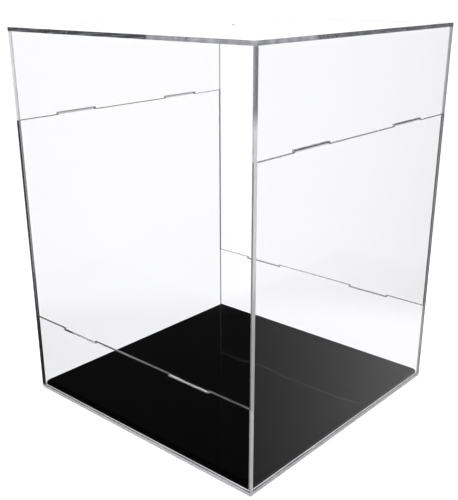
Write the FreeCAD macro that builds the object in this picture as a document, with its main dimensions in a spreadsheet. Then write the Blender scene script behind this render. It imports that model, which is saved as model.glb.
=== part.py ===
# Clear two-part display case: a tray and a lift-off cover bonded from flat sheets, and a loose base plate.
# Units are millimetres. The origin is at the centre of the footprint, on the table, with +Z up.
import FreeCAD, Part
import Sketcher
import os

doc = FreeCAD.newDocument("DisplayCase")

# ---- sizes ----
spec = doc.addObject("Spreadsheet::Sheet", "Spec")
sizes = [
    ("caseSide", "248"),
    ("caseHeight", "315"),
    ("sheetThick", "3"),
    ("tallRise", "240.5"),
    ("slideGap", "0.15"),
    ("tabCentre", "63"),
    ("tabWidth", "40"),
    ("tabRise", "1.5"),
    ("notchSlack", "0.5"),
    ("notchExtra", "0.2"),
    ("edgeBreak", "0.3"),
    ("tabLead", "1.1"),
    ("plateThick", "5"),
    ("plateGap", "0.5"),
    ("plateBevel", "2"),
    ("plateCorner", "2"),
    ("shortRise", "=caseHeight - 2 * sheetThick - tallRise"),
    ("outerHalf", "=caseSide / 2"),
    ("innerHalf", "=outerHalf - sheetThick"),
    ("slideHalf", "=innerHalf - slideGap"),
    ("tabNear", "=tabCentre - tabWidth / 2"),
    ("tabFar", "=tabCentre + tabWidth / 2"),
    ("tabTip", "=tallRise + tabRise"),
    ("notchNear", "=tabNear - notchSlack"),
    ("notchFar", "=tabFar + notchSlack"),
    ("notchFloor", "=shortRise - tabRise - notchExtra"),
    ("coverBond", "=caseHeight - sheetThick"),
    ("plateHalf", "=innerHalf - plateGap"),
]
for row, (alias, content) in enumerate(sizes, start=1):
    spec.set("A%d" % row, alias)
    spec.set("B%d" % row, content)
    spec.setAlias("B%d" % row, alias)
doc.recompute()
size = {alias: float(spec.get(alias)) for alias, content in sizes}


def signed(term):
    """Split '-name' or 'name' into a number and the expression that drives it."""
    if term == "0":
        return 0.0, None
    if term.startswith("-"):
        return -size[term[1:]], "-Spec.%s" % term[1:]
    return size[term], "Spec.%s" % term


def flipped(term):
    """Give the same size with the opposite sign."""
    if term == "0":
        return term
    return term[1:] if term.startswith("-") else "-" + term


def originPlane(body, role):
    """Find one of the body's own origin planes."""
    return next(f for f in body.Origin.OriginFeatures if f.Role == role)


def drawProfile(body, name, role, corners):
    """Draw a closed outline whose every corner is held by two sizes from the sheet."""
    sketch = body.newObject("Sketcher::SketchObject", name)
    sketch.AttachmentSupport = [(originPlane(body, role), "")]
    sketch.MapMode = "FlatFace"
    points = [FreeCAD.Vector(signed(a)[0], signed(b)[0], 0) for a, b in corners]
    count = len(points)
    for i in range(count):
        sketch.addGeometry(Part.LineSegment(points[i], points[(i + 1) % count]), False)
    for i in range(count):
        sketch.addConstraint(Sketcher.Constraint("Coincident", i, 2, (i + 1) % count, 1))
    for i, (a, b) in enumerate(corners):
        for kind, term in (("DistanceX", a), ("DistanceY", b)):
            value, driver = signed(term)
            if driver is None:
                sketch.addConstraint(Sketcher.Constraint("PointOnObject", i, 1, -1))
                continue
            index = sketch.addConstraint(Sketcher.Constraint(kind, -1, 1, i, 1, value))
            label = "corner%d%s" % (i, kind[-1])
            sketch.renameConstraint(index, label)
            sketch.setExpression("Constraints." + label, driver)
    return sketch


def padSketch(body, sketch, driver):
    """Give a sketch its thickness."""
    pad = body.newObject("PartDesign::Pad", sketch.Name + "Pad")
    pad.Profile = sketch
    pad.setExpression("Length", driver)
    body.Tip = pad
    doc.recompute()
    return pad


def edgesWhere(feature, test):
    """Name the straight edges whose two ends pass a test."""
    names = []
    for number, edge in enumerate(feature.Shape.Edges, start=1):
        ends = [v.Point for v in edge.Vertexes]
        if len(ends) == 2 and test(ends[0], ends[1]):
            names.append("Edge%d" % number)
    return names


def breakEdges(body, feature, name, driver, test):
    """Bevel the chosen edges and check that the bevel took something off."""
    names = edgesWhere(feature, test)
    if not names:
        raise RuntimeError(name + ": no edge was chosen")
    before = feature.Shape.Volume
    bevel = body.newObject("PartDesign::Chamfer", name)
    bevel.Base = (feature, names)
    bevel.setExpression("Size", driver)
    body.Tip = bevel
    doc.recompute()
    if not bevel.Shape.Volume < before:
        raise RuntimeError(name + " took nothing off")
    return bevel


def near(a, b):
    return abs(a - b) < 1e-3


# ---- panels: the square sheets at the bottom and the top ----
squareCorners = [
    ("-outerHalf", "-outerHalf"),
    ("outerHalf", "-outerHalf"),
    ("outerHalf", "outerHalf"),
    ("-outerHalf", "outerHalf"),
]


def makePanel(node, outsideLevel, restDriver):
    body = doc.addObject("PartDesign::Body", node)
    body.Label = node
    outline = drawProfile(body, node + "Outline", "XY_Plane", squareCorners)
    pad = padSketch(body, outline, "Spec.sheetThick")

    def exposed(p, q):
        upright = near(p.x, q.x) and near(p.y, q.y)
        outside = near(p.z, outsideLevel) and near(q.z, outsideLevel)
        return upright or outside

    breakEdges(body, pad, node + "EdgeBreak", "Spec.edgeBreak", exposed)
    if restDriver:
        body.setExpression("Placement.Base.z", restDriver)
    return body


# ---- walls: drawn as the front wall is seen, then turned about the case's axis ----
tallCorners = [
    ("-innerHalf", "0"),
    ("outerHalf", "0"),
    ("outerHalf", "tallRise"),
    ("tabFar", "tallRise"),
    ("tabFar", "tabTip"),
    ("tabNear", "tabTip"),
    ("tabNear", "tallRise"),
    ("-tabNear", "tallRise"),
    ("-tabNear", "tabTip"),
    ("-tabFar", "tabTip"),
    ("-tabFar", "tallRise"),
    ("-slideHalf", "tallRise"),
    ("-slideHalf", "shortRise"),
    ("-innerHalf", "shortRise"),
]
shortCorners = [
    ("-innerHalf", "0"),
    ("outerHalf", "0"),
    ("outerHalf", "shortRise"),
    ("notchFar", "shortRise"),
    ("notchFar", "notchFloor"),
    ("notchNear", "notchFloor"),
    ("notchNear", "shortRise"),
    ("-notchNear", "shortRise"),
    ("-notchNear", "notchFloor"),
    ("-notchFar", "notchFloor"),
    ("-notchFar", "shortRise"),
    ("-innerHalf", "shortRise"),
]
# Each side of the case: the turn about Z, and where the wall's inner face is.
sides = {
    "front": (0, None, "-Spec.innerHalf"),
    "right": (90, "Spec.innerHalf", None),
    "back": (180, None, "Spec.innerHalf"),
    "left": (270, "-Spec.innerHalf", None),
}


def makeWall(node, side, tall, hanging):
    corners = tallCorners if tall else shortCorners
    freeLevel = size["tallRise"] if tall else size["notchFloor"]
    if hanging:
        corners = [(a, flipped(b)) for a, b in corners]
    body = doc.addObject("PartDesign::Body", node)
    body.Label = node
    outline = drawProfile(body, node + "Outline", "XZ_Plane", corners)
    pad = padSketch(body, outline, "Spec.sheetThick")

    def tabTips(p, q):
        return near(p.y, q.y) and near(abs(p.z), size["tabTip"]) and near(p.z, q.z)

    if tall:
        pad = breakEdges(body, pad, node + "TabLead", "Spec.tabLead", tabTips)

    def exposed(p, q):
        alongFace = near(p.y, q.y)
        level = near(p.z, q.z) or not tall
        freeEdge = level and min(abs(p.z), abs(q.z)) > freeLevel - 1e-3 and not near(abs(p.z), size["tabTip"])
        caseCorner = near(p.x, size["outerHalf"]) and near(q.x, p.x) and near(p.y, -size["sheetThick"])
        return alongFace and (freeEdge or caseCorner)

    breakEdges(body, pad, node + "EdgeBreak", "Spec.edgeBreak", exposed)
    turn, driveX, driveY = sides[side]
    body.Placement = FreeCAD.Placement(FreeCAD.Vector(0, 0, 0), FreeCAD.Rotation(FreeCAD.Vector(0, 0, 1), turn))
    if driveX:
        body.setExpression("Placement.Base.x", driveX)
    if driveY:
        body.setExpression("Placement.Base.y", driveY)
    body.setExpression("Placement.Base.z", "Spec.coverBond" if hanging else "Spec.sheetThick")
    return body


# ---- the loose base plate, bevelled round its upper edge ----
plateCorners = [
    ("-plateHalf", "-plateHalf"),
    ("plateHalf", "-plateHalf"),
    ("plateHalf", "plateHalf"),
    ("-plateHalf", "plateHalf"),
]


def makePlate(node):
    body = doc.addObject("PartDesign::Body", node)
    body.Label = node
    outline = drawProfile(body, node + "Outline", "XY_Plane", plateCorners)
    pad = padSketch(body, outline, "Spec.plateThick")
    rounding = body.newObject("PartDesign::Fillet", node + "Corners")
    rounding.Base = (pad, edgesWhere(pad, lambda p, q: near(p.x, q.x) and near(p.y, q.y)))
    rounding.setExpression("Radius", "Spec.plateCorner")
    body.Tip = rounding
    doc.recompute()
    if not rounding.Shape.Volume < pad.Shape.Volume:
        raise RuntimeError("the plate's corners were not rounded")
    top = size["plateThick"]
    breakEdges(body, rounding, node + "Bevel", "Spec.plateBevel",
               lambda p, q: near(p.z, top) and near(q.z, top))
    body.setExpression("Placement.Base.z", "Spec.sheetThick")
    return body


nodes = [
    makePanel("bottom_panel", 0.0, None),
    makeWall("tray_left_wall", "left", True, False),
    makeWall("tray_right_wall", "right", True, False),
    makeWall("tray_front_wall", "front", False, False),
    makeWall("tray_back_wall", "back", False, False),
    makePanel("top_panel", size["sheetThick"], "Spec.coverBond"),
    makeWall("cover_front_wall", "front", True, True),
    makeWall("cover_back_wall", "back", True, True),
    makeWall("cover_left_wall", "left", False, True),
    makeWall("cover_right_wall", "right", False, True),
    makePlate("base_insert"),
]
doc.recompute()

# ---- check every feature and write one file for each node ----
for item in doc.Objects:
    if "Invalid" in item.State or "Error" in item.State:
        raise RuntimeError(item.Name + " did not recompute")
os.makedirs("parts", exist_ok=True)
for body in nodes:
    shape = body.Shape
    if shape.isNull() or not shape.isValid() or len(shape.Solids) != 1:
        raise RuntimeError(body.Label + " is not one valid solid")
    shape.exportStep("parts/%s.step" % body.Label)
    box = shape.BoundBox
    print("%-18s x %8.2f %8.2f  y %8.2f %8.2f  z %8.2f %8.2f  volume %9.1f" % (
        body.Label, box.XMin, box.XMax, box.YMin, box.YMax, box.ZMin, box.ZMax, shape.Volume))
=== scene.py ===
# Clear two-part display case: a tray, a lift-off cover and a glossy black base plate.
import bpy
import numpy as np
from mathutils import Matrix, Vector


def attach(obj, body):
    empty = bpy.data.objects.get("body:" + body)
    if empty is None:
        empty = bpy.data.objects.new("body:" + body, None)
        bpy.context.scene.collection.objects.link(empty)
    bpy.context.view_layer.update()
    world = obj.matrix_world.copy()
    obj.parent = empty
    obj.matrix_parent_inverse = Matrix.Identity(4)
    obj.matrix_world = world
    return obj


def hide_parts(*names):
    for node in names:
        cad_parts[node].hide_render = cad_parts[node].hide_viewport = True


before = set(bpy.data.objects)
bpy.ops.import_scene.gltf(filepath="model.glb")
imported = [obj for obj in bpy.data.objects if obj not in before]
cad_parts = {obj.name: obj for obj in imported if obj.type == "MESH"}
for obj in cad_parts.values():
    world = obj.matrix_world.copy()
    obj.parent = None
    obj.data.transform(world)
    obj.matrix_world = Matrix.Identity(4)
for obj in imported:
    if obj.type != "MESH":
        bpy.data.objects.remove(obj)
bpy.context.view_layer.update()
print("frame loaded")


def hexColour(text):
    # sRGB hex to linear red, green, blue
    parts = np.array([int(text[i:i + 2], 16) for i in (1, 3, 5)]) / 255
    linear = np.where(parts <= 0.04045, parts / 12.92, ((parts + 0.055) / 1.055) ** 2.4)
    return (*[float(c) for c in linear], 1.0)


def addNode(tree, kind, settings=None, links=None):
    # settings: attribute or input name to value; links: input name to an output socket
    node = tree.nodes.new(kind)
    for key, value in (settings or {}).items():
        if isinstance(key, str) and hasattr(node, key):
            setattr(node, key, value)
        else:
            node.inputs[key].default_value = value
    for key, socket in (links or {}).items():
        tree.links.new(socket, node.inputs[key])
    return node


def newMaterial(name):
    material = bpy.data.materials.new(name)
    material.use_nodes = True
    material.node_tree.nodes.clear()
    return material, material.node_tree


def outwards(points, faces):
    # signed volume: the sum over faces of a . (b x c) on a fan; a negative sum means inside out
    total = 0.0
    for face in faces:
        ring = points[list(face)]
        first = np.broadcast_to(ring[0], ring[2:].shape)
        total += np.einsum("ij,ij->", np.cross(ring[1:-1], ring[2:]), first)
    return faces if total > 0 else [face[::-1] for face in faces]


def addPiece(name, points, faces, slots, materials, body, nodes):
    # points in mm, in the case's own frame
    mesh = bpy.data.meshes.new(name)
    mesh.from_pydata((points / 1000).tolist(), [], outwards(points, faces))
    for material in materials:
        mesh.materials.append(material)
    mesh.polygons.foreach_set("material_index", np.array(slots, dtype=np.int32))
    mesh.update()
    piece = bpy.data.objects.new(name, mesh)
    bpy.context.scene.collection.objects.link(piece)
    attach(piece, body)
    if nodes:
        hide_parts(*nodes)
    return piece


clearValues = {
    "tint": "#fdfdfe",
    "lampTint": "#fbfbfc",
    "ior": 1.37,              # acrylic is 1.49: a little less keeps glare off the black plate
    "rubRoughness": 0.012,    # where cleaning cloths rub
    "cleanRoughness": 0.0,
    "rubPatchMm": 60,
    "rubSpread": (0.5, 0.75),  # noise levels at which the rubbing starts and is full
}


def lampsThrough(tree, surface, tint):
    # lamp light goes straight through a clear sheet, so that it lights what is inside
    lamps = addNode(tree, "ShaderNodeBsdfTransparent", {"Color": hexColour(tint)})
    rays = addNode(tree, "ShaderNodeLightPath")
    both = addNode(tree, "ShaderNodeMixShader", None,
                   {0: rays.outputs["Is Shadow Ray"], 1: surface.outputs[0], 2: lamps.outputs[0]})
    addNode(tree, "ShaderNodeOutputMaterial", None, {"Surface": both.outputs[0]})


def makeCastAcrylic():
    # cast acrylic sheet (PMMA), polished: water clear, with very faint rub patches
    v = clearValues
    material, tree = newMaterial("castAcrylic")
    place = addNode(tree, "ShaderNodeTexCoord")
    patches = addNode(tree, "ShaderNodeTexNoise", {"Scale": 1000 / v["rubPatchMm"], "Detail": 3.0},
                      {"Vector": place.outputs["Object"]})
    edgePaintedShadeAbove = addNode(tree, "ShaderNodeMapRange",
                     {"From Min": v["rubSpread"][0], "From Max": v["rubSpread"][1],
                      "To Min": v["cleanRoughness"], "To Max": v["rubRoughness"]},
                     {"Value": patches.outputs["Fac"]})
    sheet = addNode(tree, "ShaderNodeBsdfPrincipled",
                    {"Base Color": hexColour(v["tint"]), "IOR": v["ior"],
                     "Transmission Weight": 1.0},
                    {"Roughness": edgePaintedShadeAbove.outputs["Result"]})
    lampsThrough(tree, sheet, v["lampTint"])
    return material


def twoColours(tree, factor, low, high):
    # a mix from one colour to another; 6 and 7 are the colour inputs, 2 is the colour output
    mix = addNode(tree, "ShaderNodeMix", {"data_type": "RGBA"}, {"Factor": factor})
    mix.inputs[6].default_value = hexColour(low)
    mix.inputs[7].default_value = hexColour(high)
    return mix.outputs[2]


paintedShadeStep = {
    "fromMm": 264,            # painted shade: the front corner is paler below this height
    "toMm": 276,              # and darker above this one: a step in light, not in the sheet
}


def paintedShadeAbove(tree, place, low, high):
    # painted shade: one colour up to a height and a darker one over it, with a short soft step
    # between
    split = addNode(tree, "ShaderNodeSeparateXYZ", None, {0: place.outputs["Object"]})
    v = paintedShadeStep
    step = addNode(tree, "ShaderNodeMapRange",
                   {"From Min": v["fromMm"] / 1000, "From Max": v["toMm"] / 1000},
                   {"Value": split.outputs["Z"]})
    return twoColours(tree, step.outputs["Result"], low, high)


cementValues = {
    "clear": "#fefefe",
    "milk": "#f6f6f8",
    # painted shade: the dark film at the tray's front left corner
    "shaded": "#55555b",
    # painted shade: the darker grey of the front corner's joint above a height
    "paintedShadeGrey": "#a4a4aa",
    "thinFilm": 0.5,          # how much of the light a film of dried cement stops and scatters
    "thickFilm": 0.8,
}


def makeCementJoint(name, film, shade="milk", upper=None):
    # solvent-cemented joint: the two sheets have run together, so light goes straight through,
    # apart from what a milky film of dried cement scatters
    v = cementValues
    material, tree = newMaterial(name)
    clear = addNode(tree, "ShaderNodeBsdfTransparent", {"Color": hexColour(v["clear"])})
    # where the film's colour is dark it is painted shade, at the tray's front left corner
    lit = addNode(tree, "ShaderNodeBsdfDiffuse", {"Color": hexColour(v[shade])})
    through = addNode(tree, "ShaderNodeBsdfTranslucent", {"Color": hexColour(v[shade])})
    # painted shade: the film turns darker above a height
    if upper:
        place = addNode(tree, "ShaderNodeTexCoord")
        graded = paintedShadeAbove(tree, place, v[shade], v[upper])
        tree.links.new(graded, lit.inputs["Color"])
        tree.links.new(graded, through.inputs["Color"])
    # half of what the film scatters comes back and half goes on
    milk = addNode(tree, "ShaderNodeMixShader", {0: 0.5},
                   {1: lit.outputs[0], 2: through.outputs[0]})
    joint = addNode(tree, "ShaderNodeMixShader", {0: film},
                    {1: clear.outputs[0], 2: milk.outputs[0]})
    lampsThrough(tree, joint, v["clear"])
    return material


edgeValues = {
    "shade": "#a9a9ad",       # what is left of white after a long way through the sheet
    "deepShade": "#55555b",   # painted shade for the tray's front left corner; the pip uses it as well
    "pale": "#f2f2f4",
    "white": "#f6f6f8",
    # painted shade: the darker grey of the front corner's edge above a height
    "paintedShadeGrey": "#a4a4aa",
    "lampTint": "#ececee",
    "polished": 0.02,         # roughness of each finish
    "scraped": 0.1,
    "satin": 0.3,
    "satinClear": 0.45,       # how much light goes on into the sheet through a satin edge
    "frostedClear": 0.15,
    "grainMm": 0.9,           # real cutter marks are nearer 0.2 mm apart: drawn coarser to show
    "grainDepthMm": 0.012,
    "grainStrength": 0.4,
    "scrapedDark": "#9d9da3",
    "scrapedPale": "#c6c6ca",  # the top panel's edge is scraped unevenly
    "scrapeMm": 7,
    "scrapeSpread": (0.4, 0.66),
    "nickApartMm": 9,
    "nickMm": 1.1,
    "nickCore": 0.8,          # the share of a nick that is fully bright, before its soft rim
}


def makeEdge(name, roughness, shade, transmission=1.0, upper=None, nicked=False):
    # the same acrylic on its edges: polished and scraped ones let light on into the sheet, satin
    # and frosted ones scatter some of it, and a fine grain of cutter marks breaks up the gloss
    v = edgeValues
    material, tree = newMaterial(name)
    place = addNode(tree, "ShaderNodeTexCoord")
    grain = addNode(tree, "ShaderNodeTexNoise", {"Scale": 1000 / v["grainMm"], "Detail": 2.0},
                    {"Vector": place.outputs["Object"]})
    cut = addNode(tree, "ShaderNodeBump",
                  {"Strength": v["grainStrength"], "Distance": v["grainDepthMm"] / 1000},
                  {"Height": grain.outputs["Fac"]})
    edge = addNode(tree, "ShaderNodeBsdfPrincipled",
                   {"Base Color": hexColour(v[shade]), "IOR": clearValues["ior"],
                    "Transmission Weight": transmission, "Roughness": roughness},
                   {"Normal": cut.outputs["Normal"]})
    # painted shade: the edge turns darker above a height
    if upper:
        graded = paintedShadeAbove(tree, place, v[shade], v[upper])
        tree.links.new(graded, edge.inputs["Base Color"])
    if nicked:
        # uneven scraping along the edge, and a few small nicks that catch the light
        scrape = addNode(tree, "ShaderNodeTexNoise", {"Scale": 1000 / v["scrapeMm"], "Detail": 3.0},
                         {"Vector": place.outputs["Object"]})
        nicks = addNode(tree, "ShaderNodeTexVoronoi", {"Scale": 1000 / v["nickApartMm"]},
                        {"Vector": place.outputs["Object"]})
        spread = addNode(tree, "ShaderNodeMapRange",
                         {"From Min": v["scrapeSpread"][0], "From Max": v["scrapeSpread"][1]},
                         {"Value": scrape.outputs["Fac"]})
        uneven = twoColours(tree, spread.outputs["Result"], v["scrapedDark"], v["scrapedPale"])
        tree.links.new(uneven, edge.inputs["Base Color"])
        reach = v["nickMm"] / v["nickApartMm"]
        bright = addNode(tree, "ShaderNodeMapRange",
                         {"From Min": reach * v["nickCore"], "From Max": reach,
                          "To Min": 0.0, "To Max": transmission},
                         {"Value": nicks.outputs["Distance"]})
        tree.links.new(bright.outputs["Result"], edge.inputs["Transmission Weight"])
    lampsThrough(tree, edge, v["lampTint"])
    return material


plateValues = {
    "colour": "#0a0a0b",
    "dust": "#3b3a38",
    "ior": 1.38,              # acrylic is 1.49: a little less keeps the plate black at a low angle
    "roughness": 0.035,
    "hazeRoughness": 0.09,
    "hazeMm": 45,
    "hazeSpread": (0.4, 0.75),
    "dustMm": 1.1,            # real specks are nearer 0.1 mm: drawn larger to show
    "dustApart": 9,           # in specks
    "dustSpread": (0.03, 0.06),
    "dustCover": 0.6,
}


def makeBlackAcrylic():
    # black cast acrylic, press polished: a deep mirror gloss, light haze and a few specks of dust
    v = plateValues
    material, tree = newMaterial("blackGlossAcrylic")
    place = addNode(tree, "ShaderNodeTexCoord")
    haze = addNode(tree, "ShaderNodeTexNoise", {"Scale": 1000 / v["hazeMm"], "Detail": 4.0},
                   {"Vector": place.outputs["Object"]})
    rough = addNode(tree, "ShaderNodeMapRange",
                    {"From Min": v["hazeSpread"][0], "From Max": v["hazeSpread"][1],
                     "To Min": v["roughness"], "To Max": v["hazeRoughness"]},
                    {"Value": haze.outputs["Fac"]})
    specks = addNode(tree, "ShaderNodeTexVoronoi", {"Scale": 1000 / (v["dustMm"] * v["dustApart"])},
                     {"Vector": place.outputs["Object"]})
    dust = addNode(tree, "ShaderNodeMapRange",
                   {"From Min": v["dustSpread"][0], "From Max": v["dustSpread"][1],
                    "To Min": v["dustCover"], "To Max": 0.0},
                   {"Value": specks.outputs["Distance"]})
    colour = twoColours(tree, dust.outputs["Result"], v["colour"], v["dust"])
    plate = addNode(tree, "ShaderNodeBsdfPrincipled", {"IOR": v["ior"]},
                    {"Base Color": colour, "Roughness": rough.outputs["Result"]})
    addNode(tree, "ShaderNodeOutputMaterial", None, {"Surface": plate.outputs[0]})
    return material


e, c = edgeValues, cementValues
sheetFinishes = {
    "face": makeCastAcrylic(),
    "clearJoint": makeCementJoint("solventCementJoint", 0.0),
    "polished": makeEdge("polishedAcrylicEdge", e["polished"], "shade"),
    "milkyJoint": makeCementJoint("milkyCementJoint", c["thinFilm"]),
    # painted shade: the tray's front left corner's exposed end is tinted dark for the dark surround
    # it would pick up; the pip uses this finish too
    "dark": makeEdge("scrapedEdgePaintedShade", e["scraped"], "deepShade"),
    "bright": makeEdge("brightAcrylicEdge", e["scraped"], "pale"),
    "satin": makeEdge("satinAcrylicEdge", e["satin"], "pale", e["satinClear"]),
    "frosted": makeEdge("frostedAcrylicEdge", e["satin"], "white", e["frostedClear"]),
    # the front corner's edge and joint: painted shade, darker above a height
    "edgePaintedShadeAbove": makeEdge("acrylicEdgePaintedShadeAbove", e["satin"], "pale", e["satinClear"], "paintedShadeGrey"),
    "jointPaintedShadeAbove": makeCementJoint("cementJointPaintedShadeAbove", c["thinFilm"], upper="paintedShadeGrey"),
    "nicked": makeEdge("nickedAcrylicEdge", e["polished"], "shade", nicked=True),
    # painted shade: a thick dark cement film at the tray's front left corner
    "jointPaintedShade": makeCementJoint("cementJointPaintedShade", c["thickFilm"], "shaded"),
}
slotOf = {finish: slot for slot, finish in enumerate(sheetFinishes)}
blackAcrylic = makeBlackAcrylic()
print("materials made")


size = {
    "outer": 124.0,       # half the outside width
    "inner": 121.0,       # half the inside width
    "slide": 120.85,      # where a sliding wall ends
    "sheet": 3.0,
    "height": 315.0,
    "tall": 240.5,        # bonded edge to free edge
    "short": 68.5,
    "seamGap": 0.05,      # each free edge stands back this much, so two sheets never share a face
    "tabNear": 43.0,
    "tabFar": 83.0,
    "tabRise": 1.5,
    "notchSlack": 0.5,
    "notchExtra": 0.3,
    "arris": 0.22,        # radius on the free edges
    "tabLead": 1.2,       # radius that tapers the tabs' tips
    "arrisSteps": 4,
}


def edgeOffsets(path, insets):
    # each corner moves to where its two edges, each pushed inwards by its own inset, cross
    ahead = np.roll(path, -1, axis=0) - path
    ahead = ahead / np.linalg.norm(ahead, axis=1)[:, None]
    inward = np.column_stack([-ahead[:, 1], ahead[:, 0]])
    before = np.roll(inward, 1, axis=0)
    insetBefore = np.roll(insets, 1)
    det = before[:, 0] * inward[:, 1] - before[:, 1] * inward[:, 0]
    straight = np.abs(det) < 1e-6
    safe = np.where(straight, 1.0, det)
    crossed = np.column_stack([
        (insetBefore * inward[:, 1] - insets * before[:, 1]) / safe,
        (before[:, 0] * insets - inward[:, 0] * insetBefore) / safe,
    ])
    return np.where(straight[:, None], inward * insets[:, None], crossed)


def sheetShell(path, innerInsets, outerInsets, thickness, radius):
    # an outline carried through the sheet's thickness, with a quarter round at each face:
    # point(i, k) = outline(i) + inset(i) (1 - sin a), at depth r(i) (1 - cos a), and mirrored for
    # the far face
    turn = np.linspace(0, np.pi / 2, size["arrisSteps"] + 1)
    part = 1 - np.sin(turn)
    depth = radius[None] * (1 - np.cos(turn))[:, None]
    near = path[None] + edgeOffsets(path, innerInsets)[None] * part[:, None, None]
    far = path[None] + edgeOffsets(path, outerInsets)[None] * part[::-1, None, None]
    rings = np.concatenate([near, far])
    depths = np.concatenate([depth, (thickness - depth)[::-1]])
    return np.concatenate([rings, depths[:, :, None]], axis=2)


def bandFaces(levels, count):
    # quads between neighbouring rings
    k, i = np.meshgrid(np.arange(levels - 1), np.arange(count), indexing="ij")
    j = (i + 1) % count
    low, high = k * count, (k + 1) * count
    quads = np.stack([low + i, low + j, high + j, high + i], axis=-1)
    return quads.reshape(-1, 4).tolist()


def wallOutline(tall):
    # anticlockwise from the bonded edge's lap end: u along the wall, w from the bonded edge to the
    # free edge. each row: u, w, what the edge that starts here is
    s = size
    if tall:
        top = s["tall"] - s["seamGap"]
        tip = top + s["tabRise"]
        near, far = s["tabNear"], s["tabFar"]
    else:
        top = s["short"] - s["seamGap"]
        tip = top - s["tabRise"] - s["notchExtra"]
        near, far = s["tabNear"] - s["notchSlack"], s["tabFar"] + s["notchSlack"]
    rows = [(-s["inner"], 0, "bonded"), (s["inner"], 0, "bonded"), (s["outer"], 0, "end")]
    if tall:
        rows += [(s["outer"], s["short"], "end"), (s["outer"], top, "free")]
    else:
        rows += [(s["outer"], top, "free"), (s["inner"], top, "free")]
    edge = "tip" if tall else "free"
    rows += [(far, top, "free"), (far, tip, edge), (near, tip, "free"), (near, top, "free"),
             (-near, top, "free"), (-near, tip, edge), (-far, tip, "free"), (-far, top, "free")]
    if tall:
        rows += [(-s["slide"], top, "lap"), (-s["slide"], s["short"], "lap"),
                 (-s["inner"], s["short"], "joined")]
    else:
        rows += [(-s["inner"], top, "joined")]
    return rows


def makeWall(name, node, turns, tall, hanging, body, end, lap="bright", cemented="milkyJoint",
             joined="milkyJoint", seam="polished"):
    # end, lap, cemented, joined and seam are the finishes of the wall's exposed end, the end that
    # slides by its neighbour, the two cemented corners, and the free edge
    rows = wallOutline(tall)
    path = np.array([row[:2] for row in rows], dtype=float)
    kinds = [row[2] for row in rows]
    inner = {"free": size["arris"], "tip": size["tabLead"]}
    outer = {"end": size["arris"], **inner}
    innerInsets = np.array([inner.get(kind, 0.0) for kind in kinds])
    outerInsets = np.array([outer.get(kind, 0.0) for kind in kinds])
    tipped = np.array([kind == "tip" for kind in kinds])
    radius = np.where(tipped | np.roll(tipped, 1), size["tabLead"], size["arris"])
    shell = sheetShell(path, innerInsets, outerInsets, size["sheet"], radius)
    levels, count = shell.shape[:2]
    points = shell.reshape(-1, 3)
    faces = bandFaces(levels, count)
    finish = {"bonded": "clearJoint", "end": end, "lap": lap, "joined": joined,
              "free": seam, "tip": seam}
    slots = [slotOf[finish[kind]] for kind in kinds] * (levels - 1)
    # the inner face: a strip by the exposed end is cemented to the neighbouring wall's lap end
    if tall:
        points = np.vstack([points, [size["inner"], size["short"], 0]])
        extra = len(points) - 1
        strip = [1, 2, 3, extra]
        main = [0, 1, extra] + list(range(3, count))
    else:
        strip = [1, 2, 3, 4]
        main = [0, 1] + list(range(4, count))
    far = (levels - 1) * count
    faces += [strip[::-1], main[::-1], [far + i for i in range(count)]]
    slots += [slotOf[cemented], slotOf["face"], slotOf["face"]]
    # from the wall's own plane to its place: x = u, y = -(inner + depth), z = w from the bonded
    # face, then a quarter turn about the upright axis as often as it takes
    level = size["height"] - size["sheet"] if hanging else size["sheet"]
    rise = -points[:, 1] if hanging else points[:, 1]
    place = np.column_stack([points[:, 0], -size["inner"] - points[:, 2], level + rise])
    for _ in range(turns):
        place = np.column_stack([-place[:, 1], place[:, 0], place[:, 2]])
    return addPiece(name, place, faces, slots, sheetFinishes.values(), body, [node])


def makePanel(name, node, level, outsideUp, body):
    # a square sheet: sharp where the walls stand on it, a small radius on the outside
    s = size
    corner = np.array([[-1, -1], [1, -1], [1, 1], [-1, 1]], dtype=float)
    path = corner * s["outer"]
    arris = np.full(4, s["arris"])
    shell = sheetShell(path, np.zeros(4), arris, s["sheet"], arris)
    levels, count = shell.shape[:2]
    points = np.vstack([shell.reshape(-1, 3), np.column_stack([corner * s["inner"], np.zeros(4)])])
    base = levels * count
    far = (levels - 1) * count
    faces = bandFaces(levels, count)
    side, joint = ("nicked", "clearJoint") if outsideUp else ("satin", "milkyJoint")
    slots = [slotOf[side]] * len(faces)
    # the rim that the walls' bonded edges are cemented to, then the inner and the outer face
    faces += [[i, base + i, base + (i + 1) % 4, (i + 1) % 4] for i in range(4)]
    slots += [slotOf[joint]] * 4
    faces += [[base + 3, base + 2, base + 1, base], [far, far + 1, far + 2, far + 3]]
    slots += [slotOf["face"]] * 2
    z = level + points[:, 2] if outsideUp else level - points[:, 2]
    place = np.column_stack([points[:, :2], z])
    return addPiece(name, place, faces, slots, sheetFinishes.values(), body, [node])


makePanel("bottomPanel", "bottom_panel", size["sheet"], False, "tray")
# the front wall's joint at the front left corner carries painted shade
makeWall("trayFrontWall", "tray_front_wall", 0, False, False, "tray", "satin",
         joined="jointPaintedShade", seam="bright")
makeWall("trayRightWall", "tray_right_wall", 1, True, False, "tray", "frosted", "satin")
makeWall("trayBackWall", "tray_back_wall", 2, False, False, "tray", "frosted", seam="bright")
# the left wall's exposed end and its cemented strip at the front left corner carry painted shade
makeWall("trayLeftWall", "tray_left_wall", 3, True, False, "tray", "dark", "frosted",
         cemented="jointPaintedShade")
print("tray made")

makePanel("topPanel", "top_panel", size["height"] - size["sheet"], True, "cover")
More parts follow.
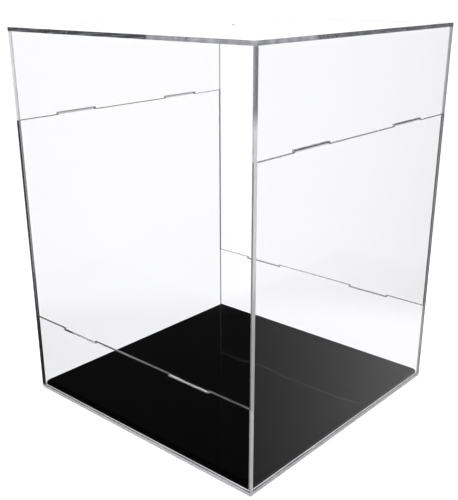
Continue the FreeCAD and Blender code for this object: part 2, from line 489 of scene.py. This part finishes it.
# the cover's front corner carries painted shade, darker above a height
makeWall("coverFrontWall", "cover_front_wall", 0, True, True, "cover", "edgePaintedShadeAbove",
         cemented="jointPaintedShadeAbove", seam="bright")
makeWall("coverRightWall", "cover_right_wall", 1, False, True, "cover", "frosted",
         joined="jointPaintedShadeAbove")
makeWall("coverBackWall", "cover_back_wall", 2, True, True, "cover", "frosted", "satin",
         seam="bright")
makeWall("coverLeftWall", "cover_left_wall", 3, False, True, "cover", "frosted")


pipShape = {
    "radius": 0.9,
    "rise": 0.3,
    "rings": 5,
    "around": 20,
}


def makePip():
    # a low dome: radius r = R sin a, height h = rise cos a, for a from the rim to the pole; flat
    # underneath
    s = pipShape
    lean = np.linspace(np.pi / 2, 0, s["rings"] + 1)[:-1]
    angle = np.linspace(0, 2 * np.pi, s["around"], endpoint=False)
    circle = np.column_stack([np.cos(angle), np.sin(angle)])
    rings = s["radius"] * np.sin(lean)[:, None, None] * circle[None]
    height = size["height"] + s["rise"] * np.cos(lean)
    height = np.broadcast_to(height[:, None, None], rings.shape[:2] + (1,))
    pole = [(0, 0, size["height"] + s["rise"])]
    points = np.vstack([np.concatenate([rings, height], axis=2).reshape(-1, 3), pole])
    faces = bandFaces(s["rings"], s["around"])
    around = s["around"]
    last = (s["rings"] - 1) * around
    faces += [[last + i, last + (i + 1) % around, len(points) - 1] for i in range(around)]
    faces += [list(range(around))[::-1]]
    return addPiece("topPanelPip", points, faces, [0] * len(faces), [sheetFinishes["dark"]],
                    "cover", [])


makePip()
print("cover made")


plateShape = {
    "half": 120.5,
    "corner": 1.0,
    "leastCorner": 0.15,  # where the bevel has run in past the corner's radius
    "cornerSteps": 10,
    "low": 3.06,          # a hair above the bottom panel
    "high": 8.0,
    "bevel": 2.0,
    "soften": 0.3,        # radius where the bevel meets the faces
    "foot": 0.3,          # radius along the lower edge
}


def roundedSquares(half, radii, insets, steps):
    # four quarter circles in turn, anticlockwise:
    # point = corner sign * (half - inset - radius) + radius * outward
    turn = np.linspace(0, np.pi / 2, steps + 1)
    angle = (np.arange(4)[:, None] * np.pi / 2 + turn[None]).ravel()
    outward = np.column_stack([np.cos(angle), np.sin(angle)])
    corner = np.repeat(np.array([[1, 1], [-1, 1], [-1, -1], [1, -1]]), steps + 1, axis=0)
    reach = (half - insets - radii)[:, None, None]
    return corner[None] * reach + outward[None] * radii[:, None, None]


def makePlate():
    # the edge profile (inset, height) carried round the rounded square, whose corner radius shrinks
    # as it goes in. each softened corner of the profile is three points
    s = plateShape
    low, high, bevel, foot = s["low"], s["high"], s["bevel"], s["foot"]
    under = high - bevel
    lean = s["soften"] * np.tan(np.pi / 8)
    side, middle, end = lean * 0.29, lean * 0.3, lean * 0.9
    profile = np.array([
        (foot, low), (foot * 0.3, low + foot * 0.3), (0.0, low + foot),
        (0.0, under - lean), (side, under + middle), (end, under + end),
        (bevel - end, high - end), (bevel - middle, high - side), (bevel + lean, high),
    ])
    radii = np.maximum(s["corner"] - profile[:, 0], s["leastCorner"])
    rings = roundedSquares(s["half"], radii, profile[:, 0], s["cornerSteps"])
    heights = np.broadcast_to(profile[:, 1, None, None], rings.shape[:2] + (1,))
    points = np.concatenate([rings, heights], axis=2)
    levels, count = points.shape[:2]
    faces = bandFaces(levels, count)
    faces += [list(range(count))[::-1], [(levels - 1) * count + i for i in range(count)]]
    return addPiece("basePlate", points.reshape(-1, 3), faces, [0] * len(faces), [blackAcrylic],
                    "insert", ["base_insert"])


makePlate()
print("base plate made")


stageValues = {
    "floorColour": "#fafaf9",
    "floorRoughness": 0.85,
    "floorRadius": 0.42,      # metres
    "floorAround": 96,
    "floorGap": 0.0002,       # air under the bottom panel
    "horizon": 1.1,           # the surround's shade up to domeFrom, where it starts to darken
    "dome": 0.12,             # its shade from domeTo
    "zenith": 0.14,           # and straight overhead
    "domeFrom": 0.33,         # heights are sines: 0 is level, 1 straight up and -1 straight down
    "domeTo": 0.385,
    "flag": 0.24,             # right of the back
    "frontFlag": 0.5,         # left of the front
    "flagFrom": 0.28,         # the flags' soft rim: 0.5 is at their middle
    "flagTo": 0.4,
    "flagFoot": (-0.85, -0.72),  # heights between which the flags fade in
    "flagSwap": 0.3,          # how far in front and behind the middle the two flags blend
    "lowDark": 0.0,           # the card below the horizon, in front
    "lowLight": 0.9,          # and behind
    "cardTurn": (0.5, 0.8),   # how far back it turns from one to the other
    "cardTop": (-0.4, -0.37),  # heights between which it ends
    "sunStrength": 3.5,
    "sunDegrees": 60,
    "sunFrom": (-0.12, -0.1, 1.0),
    "gamma": 0.74,            # below 1 deepens the greys
    "bounces": 72,            # light that runs along inside a sheet is turned back about 40 times
}


def makeFloor():
    # a disc: point = radius (cos a, sin a)
    v = stageValues
    angle = np.linspace(0, 2 * np.pi, v["floorAround"], endpoint=False)
    rim = np.column_stack([np.cos(angle), np.sin(angle), np.zeros(len(angle))]) * v["floorRadius"]
    rim[:, 2] = -v["floorGap"]
    mesh = bpy.data.meshes.new("floor")
    mesh.from_pydata(rim.tolist(), [], [list(range(len(angle)))])
    material, tree = newMaterial("matWhiteFloor")
    paper = addNode(tree, "ShaderNodeBsdfPrincipled",
                    {"Base Color": hexColour(v["floorColour"]), "Roughness": v["floorRoughness"]})
    addNode(tree, "ShaderNodeOutputMaterial", None, {"Surface": paper.outputs[0]})
    mesh.materials.append(material)
    floor = bpy.data.objects.new("floor", mesh)
    bpy.context.scene.collection.objects.link(floor)
    floor.visible_glossy = False   # the floor's glare would turn the black plate grey
    floor.visible_transmission = False


def makeWorld():
    # a white surround that turns to dark grey overhead, with a dark flag to the left of the front
    # and one to the right of the back, so that the sheets' edges have something dark to pick up.
    # flag(direction) = smooth step of x y / (x^2 + y^2), which is 0 along the axes and 0.5 on that
    # diagonal; it fades out straight below
    v = stageValues
    world = bpy.data.worlds.new("studio")
    bpy.context.scene.world = world
    world.use_nodes = True
    tree = world.node_tree
    tree.nodes.clear()
    place = addNode(tree, "ShaderNodeTexCoord")
    split = addNode(tree, "ShaderNodeSeparateXYZ", None, {0: place.outputs["Generated"]})
    x, y, z = (split.outputs[axis] for axis in "XYZ")
    ramp = addNode(tree, "ShaderNodeValToRGB", None, {"Fac": z})
    shades = [(0.0, "horizon"), (v["domeFrom"], "horizon"), (v["domeTo"], "dome"), (1.0, "zenith")]
    while len(ramp.color_ramp.elements) < len(shades):
        ramp.color_ramp.elements.new(0.5)
    for element, (position, shade) in zip(ramp.color_ramp.elements, shades):
        element.position = position
        element.color = (v[shade],) * 3 + (1,)
    across = addNode(tree, "ShaderNodeMath", {"operation": "MULTIPLY"}, {0: x, 1: y})
    rise = addNode(tree, "ShaderNodeMath", {"operation": "MULTIPLY"}, {0: z, 1: z})
    level = addNode(tree, "ShaderNodeMath", {"operation": "SUBTRACT", 0: 1.0},
                    {1: rise.outputs[0]})
    turned = addNode(tree, "ShaderNodeMath", {"operation": "DIVIDE"},
                     {0: across.outputs[0], 1: level.outputs[0]})
    flag = addNode(tree, "ShaderNodeMapRange",
                   {"interpolation_type": "SMOOTHSTEP", "From Min": v["flagFrom"],
                    "From Max": v["flagTo"], "To Min": 0.0, "To Max": 1.0},
                   {"Value": turned.outputs[0]})
    steep = addNode(tree, "ShaderNodeMapRange",
                    {"From Min": v["flagFoot"][0], "From Max": v["flagFoot"][1]}, {"Value": z})
    masked = addNode(tree, "ShaderNodeMath", {"operation": "MULTIPLY"},
                     {0: flag.outputs["Result"], 1: steep.outputs["Result"]})
    side = addNode(tree, "ShaderNodeMapRange",
                   {"From Min": -v["flagSwap"], "From Max": v["flagSwap"],
                    "To Min": v["frontFlag"], "To Max": v["flag"]}, {"Value": y})
    strength = addNode(tree, "ShaderNodeMapRange", {"To Min": 1.0},
                       {"Value": masked.outputs[0], "To Max": side.outputs["Result"]})
    light = addNode(tree, "ShaderNodeBackground", None,
                    {"Color": ramp.outputs["Color"], "Strength": strength.outputs["Result"]})
    # inside the flags and well below the horizon there is a card, black in front and white behind
    card = addNode(tree, "ShaderNodeMapRange",
                   {"From Min": v["cardTurn"][0], "From Max": v["cardTurn"][1],
                    "To Min": v["lowDark"], "To Max": v["lowLight"]}, {"Value": y})
    under = addNode(tree, "ShaderNodeBackground", {"Color": (1, 1, 1, 1)},
                    {"Strength": card.outputs["Result"]})
    down = addNode(tree, "ShaderNodeMapRange",
                   {"From Min": v["cardTop"][0], "From Max": v["cardTop"][1],
                    "To Min": 1.0, "To Max": 0.0}, {"Value": z})
    lowFlag = addNode(tree, "ShaderNodeMath", {"operation": "MULTIPLY"},
                      {0: down.outputs["Result"], 1: masked.outputs[0]})
    whole = addNode(tree, "ShaderNodeMixShader", None,
                    {0: lowFlag.outputs[0], 1: light.outputs[0], 2: under.outputs[0]})
    addNode(tree, "ShaderNodeOutputWorld", None, {"Surface": whole.outputs[0]})


def makeSun():
    # one very wide, soft lamp that lights the floor evenly as far as it goes
    lamp = bpy.data.lights.new("overheadSoftbox", "SUN")
    lamp.energy = stageValues["sunStrength"]
    lamp.angle = np.radians(stageValues["sunDegrees"])
    holder = bpy.data.objects.new("overheadSoftbox", lamp)
    holder.visible_glossy = False   # no hot spot on the plate from above
    holder.visible_transmission = False
    holder.rotation_euler = Vector(stageValues["sunFrom"]).to_track_quat("Z", "Y").to_euler()
    bpy.context.scene.collection.objects.link(holder)


cameraValues = {
    "azimuth": 42.28,     # degrees, 0 is in front, 90 is on the right
    "elevation": 21.41,
    "roll": -0.44,
    "aim": (-21.56, 0.0, 90.29),
    "distance": 703.24,
    "image": (458, 500),
    "focal": 775.1,       # in the image's own units, as its middle is
    "middle": (215.0, 285.0),
    "sensorMm": 36.0,
}


def makeCamera():
    v = cameraValues
    az, el, roll = np.radians([v["azimuth"], v["elevation"], v["roll"]])
    back = np.array([np.sin(az) * np.cos(el), -np.cos(az) * np.cos(el), np.sin(el)])
    right = np.array([np.cos(az), np.sin(az), 0.0])
    up = np.cross(back, right)
    right, up = (right * np.cos(roll) + up * np.sin(roll),
                 up * np.cos(roll) - right * np.sin(roll))
    place = (np.array(v["aim"]) + back * v["distance"]) / 1000
    data = bpy.data.cameras.new("camera")
    data.sensor_fit = "HORIZONTAL"
    data.sensor_width = v["sensorMm"]
    width, height = v["image"]
    data.lens = v["focal"] / width * v["sensorMm"]
    data.shift_x = (width / 2 - v["middle"][0]) / width
    data.shift_y = (v["middle"][1] - height / 2) / width
    data.clip_start = 0.01
    camera = bpy.data.objects.new("camera", data)
    turned = Matrix(np.column_stack([right, up, back]).tolist()).to_4x4()
    camera.matrix_world = Matrix.Translation(Vector(place.tolist())) @ turned
    bpy.context.scene.collection.objects.link(camera)
    bpy.context.scene.camera = camera


makeFloor()
makeWorld()
makeSun()
makeCamera()

scene = bpy.context.scene
scene.view_settings.view_transform = "Standard"
scene.view_settings.gamma = stageValues["gamma"]
for limit in ("max_bounces", "transmission_bounces", "glossy_bounces",
              "transparent_max_bounces"):
    setattr(scene.cycles, limit, stageValues["bounces"])
scene.cycles.caustics_refractive = False
scene.cycles.caustics_reflective = False
print("stage, light and camera made")
